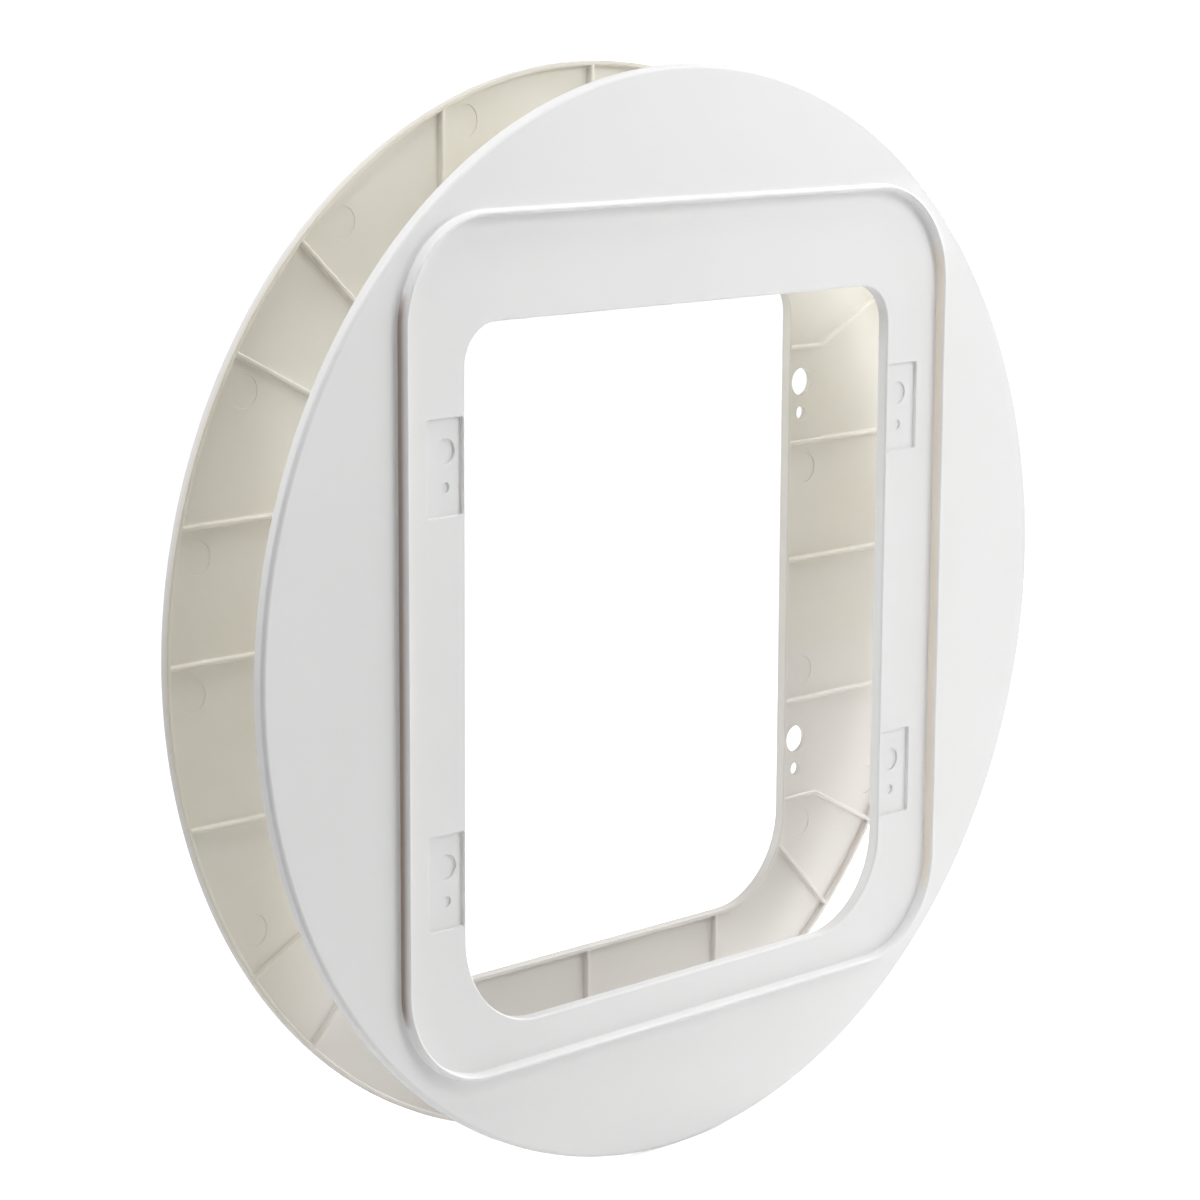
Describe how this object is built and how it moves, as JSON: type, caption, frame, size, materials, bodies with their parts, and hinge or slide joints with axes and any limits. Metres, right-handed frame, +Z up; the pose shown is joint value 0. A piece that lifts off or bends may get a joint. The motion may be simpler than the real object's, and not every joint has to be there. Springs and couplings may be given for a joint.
{
  "type": "cat flap mounting adaptor",
  "caption": "Round white plastic mounting adaptor for a cat flap: matching disc frames clamp the inner and outer faces of a door, each with a passage opening and a raised seat ridge.",
  "frame": {"origin": "centre of both discs, midway between the two frames", "axes": "+Z up, +Y from the front frame through the door to the rear frame, +X to the right seen from the front"},
  "size_m": [0.354, 0.0552, 0.354],
  "materials": {
    "white_plastic": "satin white moulded plastic, ribbed side a little warmer and duller"
  },
  "bodies": {
    "root": {"front_frame": "white_plastic", "rear_frame": "white_plastic"}
  },
  "joints": []
}
